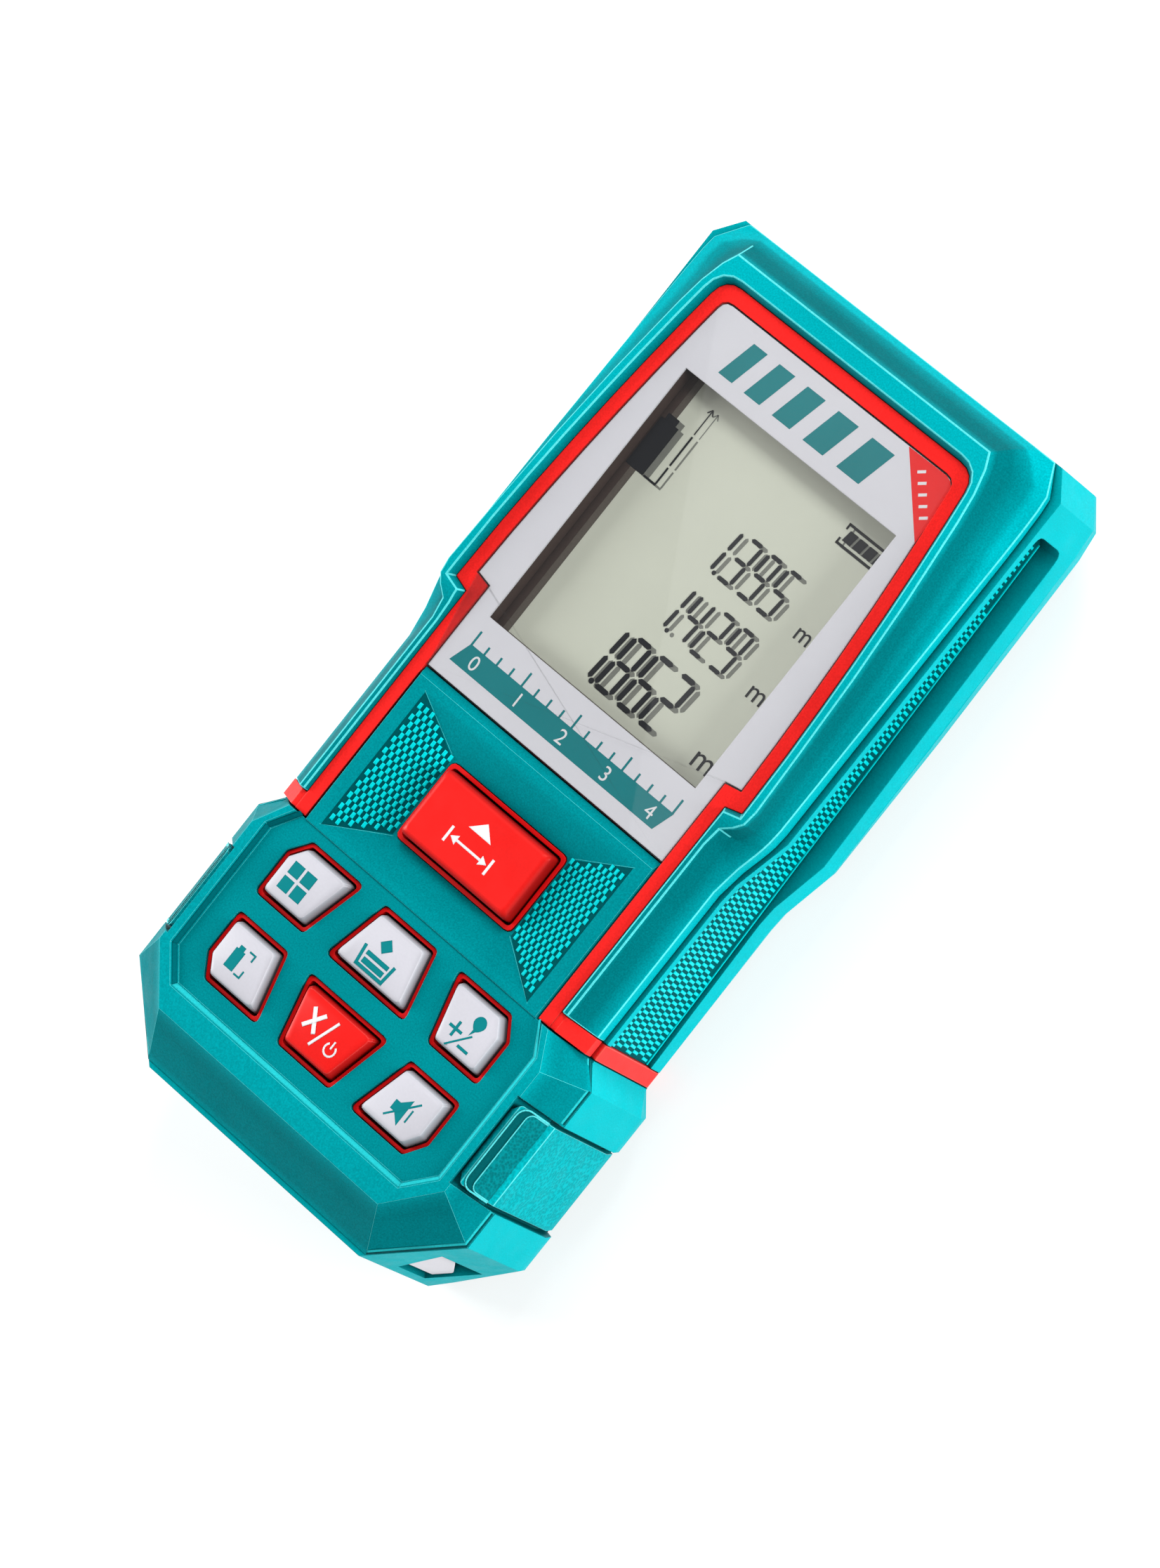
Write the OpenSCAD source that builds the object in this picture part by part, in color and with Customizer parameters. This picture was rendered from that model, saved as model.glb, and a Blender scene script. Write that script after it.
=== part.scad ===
// Hand-held laser distance meter, built from separate named pieces.
// Millimetres, +Z up, lying on its back. Origin: centre of the footprint, on the table.
// +Y points to the laser end, +X to the right of the keypad.

/* [Overall size] */
// Length from heel to laser end
body_length = 114.6; // [90:0.2:150]
// Width across the keypad block
body_width = 54; // [46:0.5:66]
// Thickness from the back to the top of the guard rim
body_thickness = 28; // [24:0.5:36]

/* [Housing] */
// Heel to waist line distance
block_length = 33; // [30:0.5:38]
// Height of the guard rim above the red frame
rim_rise = 1; // [0.4:0.1:1.5]
// Height of the rim around the keypad
key_rim = 0.7; // [0.2:0.1:1]
// Depth of the parting line below the face
parting = 5; // [4:0.1:6]
// Half width of the body at the waist
waist_half = 24.9; // [23:0.1:26]
// Wall thickness of the mouldings
wall = 1.8; // [1.2:0.1:2.4]
// Width of the red band round the waist
band_width = 2.2; // [1.5:0.1:3]
// Half width to the floor of the side grip channels
channel_half = 24.3; // [23.5:0.1:25]

/* [Display] */
// Width of the display window
window_width = 32.7; // [24:0.1:34]
// Height of the display window
window_height = 34.8; // [24:0.1:38]
// Height of the lens above the red frame
lens_proud = 0.2; // [0:0.05:0.6]
// Depth of the liquid crystal cell below the face
lcd_depth = 2.3; // [1.5:0.1:3.5]

/* [Keys] */
// Key travel allowed for in the stack below the keys
key_travel = 0.6; // [0.3:0.05:0.8]
// Height of the small keys above the keypad floor
key_proud = 0.95; // [0.6:0.05:1.2]
// Gap between a key and its collar
key_gap = 0.28; // [0.25:0.01:0.4]
// Width of the red collar round each key
collar = 0.42; // [0.3:0.02:0.6]

/* [Power and optics] */
// Diameter of a battery cell
cell_diameter = 10.5; // [9.5:0.1:10.6]
// Length of a battery cell
cell_length = 44.5; // [40:0.1:44.6]
// Clear radius of the receiver lens
receiver_radius = 6.9; // [5:0.1:7]
// Radius of the laser barrel
barrel_radius = 3.4; // [2.5:0.1:3.5]

/* [Node selection] */
// Which node to draw

/* [Hidden] */
$fn = 32;

teal = [0.0, 0.62, 0.64];
red = [0.9, 0.12, 0.1];
grey = [0.82, 0.82, 0.85];
silver = [0.78, 0.78, 0.81];
dark = [0.12, 0.12, 0.13];
green = [0.05, 0.33, 0.2];
metal = [0.75, 0.74, 0.72];

// Working frame: y = 0 on the waist line, z = 0 on the red frame's face
waist_y = block_length - body_length / 2;
face_z = body_thickness - rim_rise;
half = body_width / 2;
back = -face_z;
heel = -block_length;
head = body_length - block_length;
fit = 0.08;

// Layout of the display panel
panel_low = 21.45;
step_y = 32.7;
panel_top = 73.45;
frame_top = 75.4;
window_low = 30;
frame_width = 1.75;
panel_half_low = 18.85;

// Measuring key recess
meas_half = [9.3, 5.3];
meas_y = 10.05;
meas_floor = -1.2;
meas_top = 0.15;

// Screws, optics, battery bay
heel_screw = [19.6, -24];
head_screw = [17.7, 71];
optic_z = -15.5;
receiver_x = -7;
laser_x = 10.3;
cell_x = 5.45;
cell_z = -19.3;
bay_low = -29.3;
bay_high = 18.9;
hinge_y = 17.6;
hinge_z = back + 1.1;
board_top = -6.6;
board_low = board_top - 1;
dome_top = board_top + 0.35;
plunger_low = dome_top + key_travel + 0.3;

// ---------- helpers ----------

module place() translate([0, waist_y, face_z]) children();

function mirrored(p) = [for (i = [len(p) - 1 : -1 : 0]) [-p[i][0], p[i][1]]];
function both(p) = concat(p, mirrored(p));
function unit(v) = v / norm(v);
function side_normal(a, b) = let (d = unit(b - a)) [-d[1], d[0]];

// Counter-clockwise outline moved inwards by d
function inset(p, d) = let (n = len(p)) [for (i = [0 : n - 1])
  let (b = p[i], n1 = side_normal(p[(i + n - 1) % n], b), n2 = side_normal(b, p[(i + 1) % n]))
  b + (n1 + n2) * d / (1 + n1 * n2)];

// Corner b between a and c, rounded in k steps
function corner(a, b, c, r, k = 3) = let (u = unit(a - b), v = unit(c - b),
  t = min(r / tan(acos(u * v) / 2), 0.45 * norm(a - b), 0.45 * norm(c - b)))
  [for (i = [0 : k]) let (s = i / k)
    (1 - s) * (1 - s) * (b + u * t) + 2 * s * (1 - s) * b + s * s * (b + v * t)];
function rounded(p, r, k = 3) = let (n = len(p))
  [for (i = [0 : n - 1]) each corner(p[(i + n - 1) % n], p[i], p[(i + 1) % n], r, k)];

function rect(hx, hy, cx = 0, cy = 0) =
  [[cx + hx, cy - hy], [cx + hx, cy + hy], [cx - hx, cy + hy], [cx - hx, cy - hy]];
function flat(p, z) = [for (q = p) [q[0], q[1], z]];
function upright(p, y) = [for (q = p) [q[0], y, q[1]]];

module prism(p, z0, z1) translate([0, 0, z0]) linear_extrude(z1 - z0) polygon(p);
module bar(x0, x1, y0, y1, z0, z1) translate([x0, y0, z0]) cube([x1 - x0, y1 - y0, z1 - z0]);
module pair() { children(); mirror([1, 0, 0]) children(); }
module rod_y(x, z, y0, y1, r) translate([x, y0, z]) rotate([-90, 0, 0]) cylinder(h = y1 - y0, r = r);

// Closed skin through rings with the same number of points
module skin(rings) {
  n = len(rings[0]);
  m = len(rings);
  sides = [for (j = [0 : m - 2]) for (i = [0 : n - 1])
    let (a = j * n + i, b = j * n + (i + 1) % n) each [[a, a + n, b + n], [a, b + n, b]]];
  caps = [[for (i = [0 : n - 1]) i], [for (i = [n - 1 : -1 : 0]) (m - 1) * n + i]];
  polyhedron([for (r = rings) each r], concat(sides, caps), convexity = 8);
}

// ---------- shared outlines ----------

// Half width of the red frame's outer edge beside the display
function frame_x(y) = 22.8 - 0.02 * (y - 31) - 0.0013 * (y - 31) * (y - 31);
function frame_side(d) = [for (y = [39 : 6 : 69]) [frame_x(y) - d, y]];

function frame_outline(low) = let (top = [frame_x(frame_top), frame_top], a = [frame_x(69), 69],
  r = concat([[20.6, low], [20.6, 30.5], [22.75, 31.1]], frame_side(0),
    corner(a, top, [0, frame_top], 2.8, 4))) both(r);
function panel_outline(low) = let (top = [frame_x(panel_top) - frame_width, panel_top],
  a = [frame_x(69) - frame_width, 69],
  r = concat([[panel_half_low, low], [panel_half_low, step_y - 0.2],
    [22.75 - frame_width, step_y + 0.2]], frame_side(frame_width),
    corner(a, top, [0, panel_top], 1.5, 3))) both(r);
function window_outline() = rect(window_width / 2, window_height / 2, 0, window_low + window_height / 2);

// Keypad block: rim line, parting line, sunk keypad floor
block_rim = both([[17.95, -26.6], [23.3, -20.7], [23.3, -4.2], [20.9, -0.12]]);
block_part = both([[18, -32.4], [half, -24.4], [half, -2.8], [24.6, -0.12]]);
pad_floor = both([[18.3, -23.1], [21.24, -19.9], [21.24, -3.5], [18.95, 0.1]]);

// Key openings, right half of the keypad; the left ones are mirrored
key_top = -1.5;
key_mid = [-9.95, -12.5];
key_low = -20.95;
outer_upper = [[10.05, key_mid[0]], [18.05, key_mid[0]], [18.05, -4.1], [16.1, key_top], [7.6, key_top]];
outer_lower = [[7.5, key_low], [16.2, key_low], [18.05, -18.3], [18.05, key_mid[1]], [9.9, key_mid[1]]];
mid_upper = [[6.45, key_mid[0]], [4.3, key_top], [-4.3, key_top], [-6.45, key_mid[0]]];
mid_lower = [[4.3, key_low], [6.5, key_mid[1]], [-6.5, key_mid[1]], [-4.3, key_low]];
meas_opening = rect(meas_half[0], meas_half[1], 0, meas_y);
openings = [outer_upper, outer_lower, mid_upper, mid_lower, mirrored(outer_upper), mirrored(outer_lower)];
function middle(p) = [for (i = [0, 1]) (min([for (q = p) q[i]]) + max([for (q = p) q[i]])) / 2];

// Side section of a grip pad: out over the slope, down the wall and in along the lower bevel
pad_y = [-19.1, -8.2];
pad_low = -23.3;
pad_fold = -19.3;
function pad_section(d, low) = [[26.55 - (pad_fold - low) / 3 - d, low], [26.55 - d, pad_fold],
  [26.55 - d, -4.4], [26.2 - d, -3.6], [23.75 - d * 0.9, 0.1 - d * 0.55]];

// Guard frame stations: y, rim half width, rim height, ridge half width, ridge height, hollow
guard = [
  [head, 20.8, -4.3, 23.6, -4.7, 0], [78.1, 19.4, 1, 25.8, -3.9, 0.6],
  [76.3, 20.3, 1, 26, -3.85, 0.7], [73.5, 21.1, 1, 26.1, -3.8, 0.9],
  [70, 21.65, 1, 26.15, -3.7, 1], [60, 22.75, 1, 26.2, -3.4, 1],
  [50, 23.55, 1, 26.25, -3.15, 1], [40, 24.05, 1, 26.25, -3, 1],
  [32.2, 24.35, 0.95, 26.2, -3, 1], [30.4, 24.1, 0.9, 26.05, -3, 1],
  [29.4, 23.3, 0.8, 25.85, -3.05, 0.9], [28.4, 22, 0.65, 25.6, -3.1, 0.8],
  [26, 21.6, 0.5, 24.95, -3.15, 0.5], [22.5, 21.6, 0.5, 24.4, -3.2, 0],
  [band_width + 0.1, 21.6, 0.5, 24.4, -3.2, 0]];
// The same stations with k steps between each two
function finer(s, k) = [for (i = [0 : len(s) - 2])
    each [for (j = [0 : k - 1]) s[i] + (s[i + 1] - s[i]) * j / k],
  s[len(s) - 1]];
function guard_side(s) = let (dx = s[3] - s[1], dz = s[4] - s[2]) [
  [s[3], 0.05 - parting], [s[3], s[4]],
  [s[1] + 0.55 * dx, s[2] + dz * (0.55 + 0.27 * s[5])],
  [s[1] + 0.22 * dx, s[2] + dz * (0.22 + 0.28 * s[5])], [s[1], s[2]]];

// Rear housing stations: y, wall half width, wall foot, chamfer width, chamfer foot, back half width, back
rear = [
  [head, 24.5, -16, 23.2, -19.5, 19.5, -23.5], [78.5, half, -16, 25.4, -20.5, 21, -25.6],
  [75, half, -16.7, 25.4, -21.5, 21.2, back], [50, half, -18.2, 25.4, -22.6, 21.2, back],
  [31.5, half - 0.1, -19.1, 25.2, -23.1, 21, back], [24.5, 25.1, -19.6, 23.5, -23.3, 19.8, back],
  [22, waist_half, -19.7, 23.3, -23.4, 19.6, back], [-0.3, waist_half, -20.3, 23.3, -23.6, 19.6, back],
  [-2.8, half, -19.3, 25.6, -23.4, 21.6, back], [-24.4, half, -19.3, 25.6, -23.4, 21.6, back],
  [-30.6, 20, -23, 19.1, -25, 16.6, back], [heel, 17.3, -24, 16.8, -24.8, 15.4, -25.6]];
function rear_side(s) = [[s[5], s[6]], [s[3], s[4]], [s[1], s[2]], [s[1], -0.05 - parting]];

// Corner notch for the strap, seen along the bevelled heel corner
bevel_from = [18, -32.4];
bevel_to = [half, -24.4];
bevel_turn = atan2(bevel_to[1] - bevel_from[1], bevel_to[0] - bevel_from[0]);
module on_bevel() translate([bevel_from[0], bevel_from[1], 0]) rotate(bevel_turn) children();
module into_bevel(d0, d1)
  on_bevel() translate([0, d1, 0]) rotate([90, 0, 0]) linear_extrude(d1 - d0) children();

// ---------- housings ----------

module keypad_housing() color(teal) place() difference() {
  union() {
    difference() {
      skin([flat(block_part, 0.05 - parting), flat(block_rim, key_rim)]);
      skin([flat(inset(block_part, wall), -parting - 0.1), flat(inset(block_part, wall), -4.6),
        flat(inset(block_rim, 1.5), -1.6)]);
      // Open towards the display side below the floor
      bar(-20.2, 20.2, -2.6, -0.05, -parting - 0.2, -1.6);
      skin([flat(pad_floor, 0), flat(inset(pad_floor, -0.8), key_rim + 0.02)]);
    }
    // Measuring key panel, chamfered towards the display
    skin([flat(rect(panel_half_low - 0.1, 10.75, 0, 10.6), -2.8),
      flat(rect(panel_half_low - 0.1, 10.75, 0, 10.6), -0.35),
      flat(rect(panel_half_low - 0.35, 10.25, 0, 10.1), meas_top)]);
    pair() translate([heel_screw[0], heel_screw[1], -8]) cylinder(h = 5.8, r = 2.3);
  }
  // Four-sided dish round the measuring key
  skin([flat(rect(meas_half[0] + 0.1, meas_half[1] + 0.1, 0, meas_y), meas_floor),
    flat(rect(16.9, 9.45, 0, 9.85), meas_top + 0.02)]);
  prism(rounded(meas_opening, 0.9), -4, 1);
  for (p = openings) prism(rounded(p, 0.7), -2, 0.5);
  pair() translate([heel_screw[0], heel_screw[1], -8.1]) cylinder(h = 4.4, r = 0.97);
  pair() grip_recess();
}

// Recess that takes a grip pad, cut out of the right side
module grip_recess() {
  low = pad_low - 1.2;
  s = pad_section(1.15, low);
  translate([0, pad_y[1] + 0.55, 0]) rotate([90, 0, 0])
    linear_extrude(pad_y[1] - pad_y[0] + 1.1)
      polygon(concat(s, [[23.3, 2], [half + 2, 2], [half + 2, low]]));
}

module head_frame() color(teal) place() difference() {
  skin([for (s = finer(guard, 2)) upright(both(guard_side(s)), s[0])]);
  skin([flat(frame_outline(-5), -8), flat(frame_outline(-5), 0),
    flat(inset(frame_outline(-5), -0.66), 1.06)]);
}

module red_frame() color(red) place() {
  difference() {
    prism(inset(frame_outline(0), fit), -4.9, 0);
    prism(panel_outline(-1), -6, 1);
  }
  // Wings that close the waist band over the shoulders
  pair() translate([0, band_width, 0]) rotate([90, 0, 0]) linear_extrude(band_width - 0.12)
    polygon([[19.7, -4.5], [24.45, -4.5], [24.45, -3.15], [21.3, -0.1], [19.7, -0.1]]);
  // Screw posts under the display shoulders
  pair() difference() {
    translate([head_screw[0], head_screw[1], -8]) cylinder(h = 5.2, r = 2.1);
    translate([head_screw[0], head_screw[1], -8.1]) cylinder(h = 2.6, r = 0.97);
  }
}

// Red strap of the waist, let into a groove round the rear housing
module waist_ring(d, y0, y1) {
  s = [[19.6 - d, back + d * 0.95], [23.3 - d, -23.55 + d * 0.5], [waist_half - d, -20.25],
    [waist_half - d, -0.1 - parting]];
  skin([upright(both(s), y1), upright(both(s), y0)]);
}

module waist_band() color(red) place() difference() {
  waist_ring(0.02, 0.08, band_width - 0.02);
  waist_ring(0.92, -1, 5);
  bar(-22, 22, -1, 5, -12, 0);
  // Open over the battery door
  bar(-12.3, 12.3, -1, 5, back - 1, -12);
}

module rear_housing() color(teal) place() difference() {
  union() {
    difference() {
      skin([for (s = rear) upright(both(rear_side(s)), s[0])]);
      // Hollow inside, narrowed towards the chamfered back
      skin([flat(both([[15.6, -28.8], [19, -24.6], [19, 74.5]]), back + wall),
        flat(both([[16.2, -30.2], [22.4, -24.6], [22.4, 76.6]]), -20.5),
        flat(both([[16.4, -30.5], [22.6, -25], [22.6, 77.4]]), -parting + 1)]);
    }
    // Battery bay
    bar(-12.6, 12.6, -31, 20.1, back + 0.5, -12.6);
    // Screw bosses
    pair() for (p = [heel_screw, head_screw])
      translate([p[0], p[1], back + 1]) cylinder(h = face_z - 9.15, r = 2.8);
    // Hinge lugs and board rests
    pair() bar(12.2, 14.9, 15.8, 19.6, back + 1, hinge_z + 1.9);
    pair() for (y = [-26, 12]) bar(7.8, 10, y, y + 2.2, -13, board_low - 0.05);
    // Solid corner behind the strap notch
    on_bevel() bar(-1.5, 9.8, 1.2, 3.6, -20.8, -8.05);
  }
  // Cells and the opening for the door
  bar(-11.1, 11.1, bay_low, bay_high, back - 1, -13.7);
  bar(-12, 12, bay_low - 0.6, bay_high, back - 1, back + 1.75);
  bar(-12, 12, hinge_y - 1.5, bay_high + 0.15, back - 1, hinge_z + 1.5);
  pair() translate([11, hinge_y, hinge_z]) rotate([0, 90, 0]) cylinder(h = 2.6, r = 0.76);
  pair() for (p = [heel_screw, head_screw]) {
    translate([p[0], p[1], back - 1]) cylinder(h = 30, r = 1.15);
    translate([p[0], p[1], back - 1]) cylinder(h = 7.5, r = 2.2);
  }
  // Side grip channels
  pair() translate([channel_half, 0, 0]) rotate([90, 0, 90]) linear_extrude(6)
    polygon(concat([[band_width, -17.75]], corner([0, -17.9], [74.4, -13.4], [74.4, 0], 1.6),
      corner([74.4, -20], [74.4, -parting - 1.1], [0, -parting - 1.1], 1.2), [[band_width, -parting - 1.1]]));
  // Groove for the waist band
  difference() {
    bar(-30, 30, -0.02, band_width + 0.06, back - 1, 1 - parting);
    waist_ring(1, -1, 5);
  }
  pair() grip_recess();
  // Strap notch
  into_bevel(-1, 2.2) polygon([[0.6, -19.6], [7.5, -19.6], [7.5, -8.5], [0.6, -12.3]]);
  // Optical ports in the laser end
  rod_y(receiver_x, optic_z, 70, 90, receiver_radius + 0.3);
  rod_y(laser_x, optic_z, 70, 90, barrel_radius + 0.2);
  translate([0, head + 1, optic_z]) rotate([90, 0, 0]) linear_extrude(2.1)
    polygon(rounded(rect(17, 7.9, 0, 0), 3, 5));
}

module grip_pad() difference() {
  translate([0, pad_y[1], 0]) rotate([90, 0, 0]) linear_extrude(pad_y[1] - pad_y[0])
    polygon(concat(pad_section(0, pad_low), [for (i = [4 : -1 : 0]) pad_section(1.05, pad_low)[i]]));
  // Rounded inner corners
  for (y = pad_y) translate([23, y, 0]) rotate([0, 0, 45]) cube([1.3, 1.3, 8], center = true);
}
module grip_pad_right() color(teal) place() grip_pad();
module grip_pad_left() color(teal) place() mirror([1, 0, 0]) grip_pad();

// ---------- display ----------

module display_lens() color([0.85, 0.9, 0.92, 0.4]) place() {
  p = inset(panel_outline(panel_low), 0.06);
  skin([flat(p, -0.12), flat(p, 0.06), flat(inset(p, 0.16), lens_proud)]);
}

module display_mask() color(silver) place() difference() {
  prism(inset(panel_outline(panel_low), 0.2), -0.36, -0.14);
  prism(window_outline(), -1, 0);
}

module lcd_holder() color([0.3, 0.24, 0.2]) place() {
  difference() {
    prism(inset(panel_outline(panel_low), 0.15), -lcd_depth, -0.38);
    prism(window_outline(), -4, 0);
  }
  difference() {
    bar(-18.6, 18.6, 25.6, 67.4, -6.3, 0.02 - lcd_depth);
    bar(-18, 18, 26.1, 66.9, -7, 0.03 - lcd_depth);
  }
}

module lcd_cell() color([0.72, 0.76, 0.68]) place() {
  bar(-17.8, 17.8, 29.2, 66.7, -3.3, -lcd_depth - 0.04);
  bar(-17.8, 17.8, 26.3, 66.7, -4.4, -3.3);
}

module lcd_reflector() color([0.86, 0.88, 0.8]) place() {
  bar(-17.6, 17.6, 29.3, 66.6, -6.1, -4.45);
  bar(-6, 6, 66.2, 66.75, -6.1, -4.6);
}

module zebra_strip() color([0.85, 0.5, 0.55]) place()
  for (i = [0 : 2]) bar(-16, 16, 26.5 + 0.7 * i, 27.2 + 0.7 * i, board_top + 0.05, -4.45);

// ---------- keys ----------

module key_mat() color(red) place() {
  difference() {
    union() {
      prism(both([[15.8, -22.4], [19.9, -20], [19.9, -2.6], [17.6, -0.3]]), -2.7, -1.68);
      bar(-13.5, 13.5, 1.2, 18.8, -3.9, -2.88);
      bar(-9, 9, -1, 1.4, -3.9, -2.88);
      bar(-9, 9, -1, -0.3, -3.9, -1.68);
      for (p = openings) prism(rounded(inset(p, 0.1), 0.65), -1.7, -0.3);
      prism(rounded(inset(meas_opening, 0.1), 0.85), -2.9, meas_floor + 0.15);
    }
    for (p = openings) prism(rounded(inset(p, 0.1 + collar), 0.5), -5, 1);
    prism(rounded(inset(meas_opening, 0.15 + collar), 0.6), -5, 1);
  }
}

// One key: drafted cap with a softened edge, a flange that keeps it in, and a plunger
module key_cap(p, top, low) {
  base = inset(p, 0.1 + collar + key_gap);
  prism(rounded(inset(p, -0.25), 0.8), low - 0.45, low + 0.02);
  skin([flat(rounded(base, 0.5), low), flat(rounded(base, 0.5), top - 1.5),
    flat(rounded(inset(base, 0.16), 0.55), top - 0.5), flat(rounded(inset(base, 0.36), 0.6), top - 0.15),
    flat(rounded(inset(base, 0.7), 0.6), top)]);
  translate([middle(p)[0], middle(p)[1], plunger_low]) cylinder(h = low - plunger_low - 0.2, r = 1.4);
}

module measure_key() color(red) place() {
  base = inset(meas_opening, 0.15 + collar + key_gap);
  prism(rounded(inset(meas_opening, -0.25), 0.8), -4.65, -4.2);
  skin([flat(rounded(base, 0.6), -4.22), flat(rounded(base, 0.6), meas_floor + 0.7),
    flat(rounded(inset(base, 0.12), 0.6), 0.4), flat(rounded(inset(base, 0.4), 0.6), 0.7),
    flat(rounded(inset(base, 0.72), 0.6), 0.85)]);
  translate([0, meas_y, plunger_low]) cylinder(h = -4.4 - plunger_low, r = 1.8);
}
module area_key() color(grey) place() key_cap(mirrored(outer_upper), key_proud, -3);
module level_key() color(grey) place() key_cap(mid_upper, key_proud, -3);
module sum_key() color(grey) place() key_cap(outer_upper, key_proud, -3);
module reference_key() color(grey) place() key_cap(mirrored(outer_lower), key_proud, -3);
module clear_key() color(red) place() key_cap(mid_lower, key_proud - 0.1, -3);
module sound_key() color(grey) place() key_cap(outer_lower, key_proud, -3);

// ---------- electronics ----------

module main_board() color(green) place() difference() {
  prism(both([[15.4, -28.4], [15.4, -20], [21, -20], [21, 64.4], [14.5, 64.4], [14.5, 74.2]]),
    board_low, board_top);
  for (x = [-13, 13]) translate([x, 23.5, -9]) cylinder(h = 4, r = 1.1);
}

module key_domes() color(metal) place() {
  for (p = openings)
    translate([middle(p)[0], middle(p)[1], board_top]) cylinder(h = 0.35, r1 = 2.5, r2 = 1.3);
  translate([0, meas_y, board_top]) cylinder(h = 0.35, r1 = 3, r2 = 1.6);
}

module board_parts() color(dark) place() {
  bar(-4.5, 4.5, 24, 33, board_low - 1.3, board_low);
  bar(-16, -11, 26, 31, board_low - 1, board_low);
  bar(9, 14, 36, 40, board_low - 1.1, board_low);
  for (i = [0 : 4]) bar(-17, -15.4, 36 + 2 * i, 36.9 + 2 * i, board_low - 0.6, board_low);
  for (i = [0 : 3]) bar(-16.5 + 2.2 * i, -15.2 + 2.2 * i, 19.4, 20.2, board_top, board_top + 0.6);
  for (i = [0 : 3]) bar(9 + 2.2 * i, 10.3 + 2.2 * i, 19.4, 20.2, board_top, board_top + 0.6);
  bar(15, 19, -8, -3, board_low - 1.4, board_low);
}

module buzzer() color(dark) place() translate([-17.4, -10, board_low - 3.1]) difference() {
  cylinder(h = 3.1, r = 4);
  translate([0, 0, -0.1]) cylinder(h = 0.7, r = 0.8);
}

// ---------- optics ----------

module optics_block() color([0.2, 0.2, 0.22]) place() difference() {
  bar(-14.6, 14.3, 53.5, 75, -23.8, board_low - 0.3);
  rod_y(receiver_x, optic_z, 55.5, 77, receiver_radius + 0.1);
  rod_y(receiver_x, optic_z, 53, 56, 2.6);
  rod_y(laser_x, optic_z, 53, 77, barrel_radius + 0.05);
  bar(1.6, 5.4, 56, 74, -24, -9.5);
}

module laser_module() color([0.78, 0.62, 0.3]) place() difference() {
  union() {
    rod_y(laser_x, optic_z, 56, 77.6, barrel_radius);
    rod_y(laser_x, optic_z, 53.2, 56, 2.8);
    for (a = [-1, 0, 1]) rod_y(laser_x + 1.1 * a, optic_z, 50.4, 53.4, 0.25);
  }
  rod_y(laser_x, optic_z, 60, 78, 2.45);
}

module laser_lens() color([0.75, 0.85, 0.9, 0.6]) place() intersection() {
  rod_y(laser_x, optic_z, 74.4, 76.6, 2.4);
  translate([laser_x, 69.6, optic_z]) sphere(r = 7, $fn = 48);
}

module receiver_lens() color([0.75, 0.85, 0.9, 0.6]) place() intersection() {
  rod_y(receiver_x, optic_z, 73.4, 77.5, receiver_radius);
  translate([receiver_x, 60.4, optic_z]) sphere(r = 16.6, $fn = 64);
}

module sensor_board() color(green) place() bar(-14.4, 3, 51.2, 52.2, -23.4, -8.2);

module sensor_can() color(metal) place() {
  rod_y(receiver_x, optic_z, 52.2, 55.4, 2.3);
  rod_y(receiver_x, optic_z, 52.2, 52.6, 2.5);
}

module front_window() color([0.1, 0.05, 0.06, 0.7]) place()
  translate([0, head - 0.2, optic_z]) rotate([90, 0, 0]) linear_extrude(0.8)
    polygon(rounded(rect(16.85, 7.75, 0, 0), 2.9, 5));

// ---------- power ----------

// Coil spring along y, from y0 to y1, as one wire
module coil(x, z, y0, y1, r0, r1, turns = 3, wire = 0.28) {
  steps = turns * 14;
  rings = [for (i = [0 : steps]) let (s = i / steps, a = 360 * turns * s, r = r0 + (r1 - r0) * s,
    c = [x + r * cos(a), y0 + wire + (y1 - y0 - 2 * wire) * s, z + r * sin(a)])
    [for (k = [0 : 5]) let (b = 60 * k) c + [wire * cos(b) * cos(a), wire * sin(b), wire * cos(b) * sin(a)]]];
  skin(rings);
}

module battery_contacts() color(metal) place() {
  for (x = [-cell_x, cell_x]) bar(x - 4.2, x + 4.2, bay_low + 0.05, bay_low + 0.45, -23.6, -14.6);
  bar(-9.6, 9.6, bay_high - 0.55, bay_high - 0.15, -23.6, -14.6);
  coil(-cell_x, cell_z, bay_low + 0.43, bay_low + 2.95, 3.4, 2.4);
  coil(cell_x, cell_z, bay_high - 3.1, bay_high - 0.53, 2.4, 3.4);
}

module cell(x, y0, nub) color([0.25, 0.27, 0.3]) place() {
  body = cell_length - 0.8;
  rod_y(x, cell_z, nub > 0 ? y0 : y0 + 0.8, nub > 0 ? y0 + body : y0 + cell_length, cell_diameter / 2);
  rod_y(x, cell_z, nub > 0 ? y0 + body - 0.1 : y0, nub > 0 ? y0 + cell_length : y0 + 0.9, 1.9);
}
module battery_cell_left() cell(-cell_x, bay_low + 3, 1);
module battery_cell_right() cell(cell_x, bay_low + 0.5, -1);

module battery_door() color(teal) place() difference() {
  union() {
    bar(-11.7, 11.7, bay_low - 0.3, hinge_y, back, back + 1.4);
    translate([-11.7, hinge_y, hinge_z]) rotate([0, 90, 0]) cylinder(h = 23.4, r = 1.1);
    translate([-13.1, hinge_y, hinge_z]) rotate([0, 90, 0]) cylinder(h = 26.2, r = 0.7);
    for (x = [-7, 7]) bar(x - 0.5, x + 0.5, -18, 8, back + 1.3, back + 2);
    // Latch tongue at the heel edge
    bar(-3.2, 3.2, bay_low + 0.3, bay_low + 0.9, back + 1.3, back + 2.5);
  }
  // Finger notch and grip lines on the outside
  translate([0, bay_low + 2.2, back - 3.6]) rotate([0, 90, 0]) cylinder(h = 9, r = 4.2, center = true);
  for (i = [0 : 4]) bar(-5, 5, bay_low + 7 + 1.6 * i, bay_low + 7.7 + 1.6 * i, back - 1, back + 0.35);
}

// ---------- fastenings ----------

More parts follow.
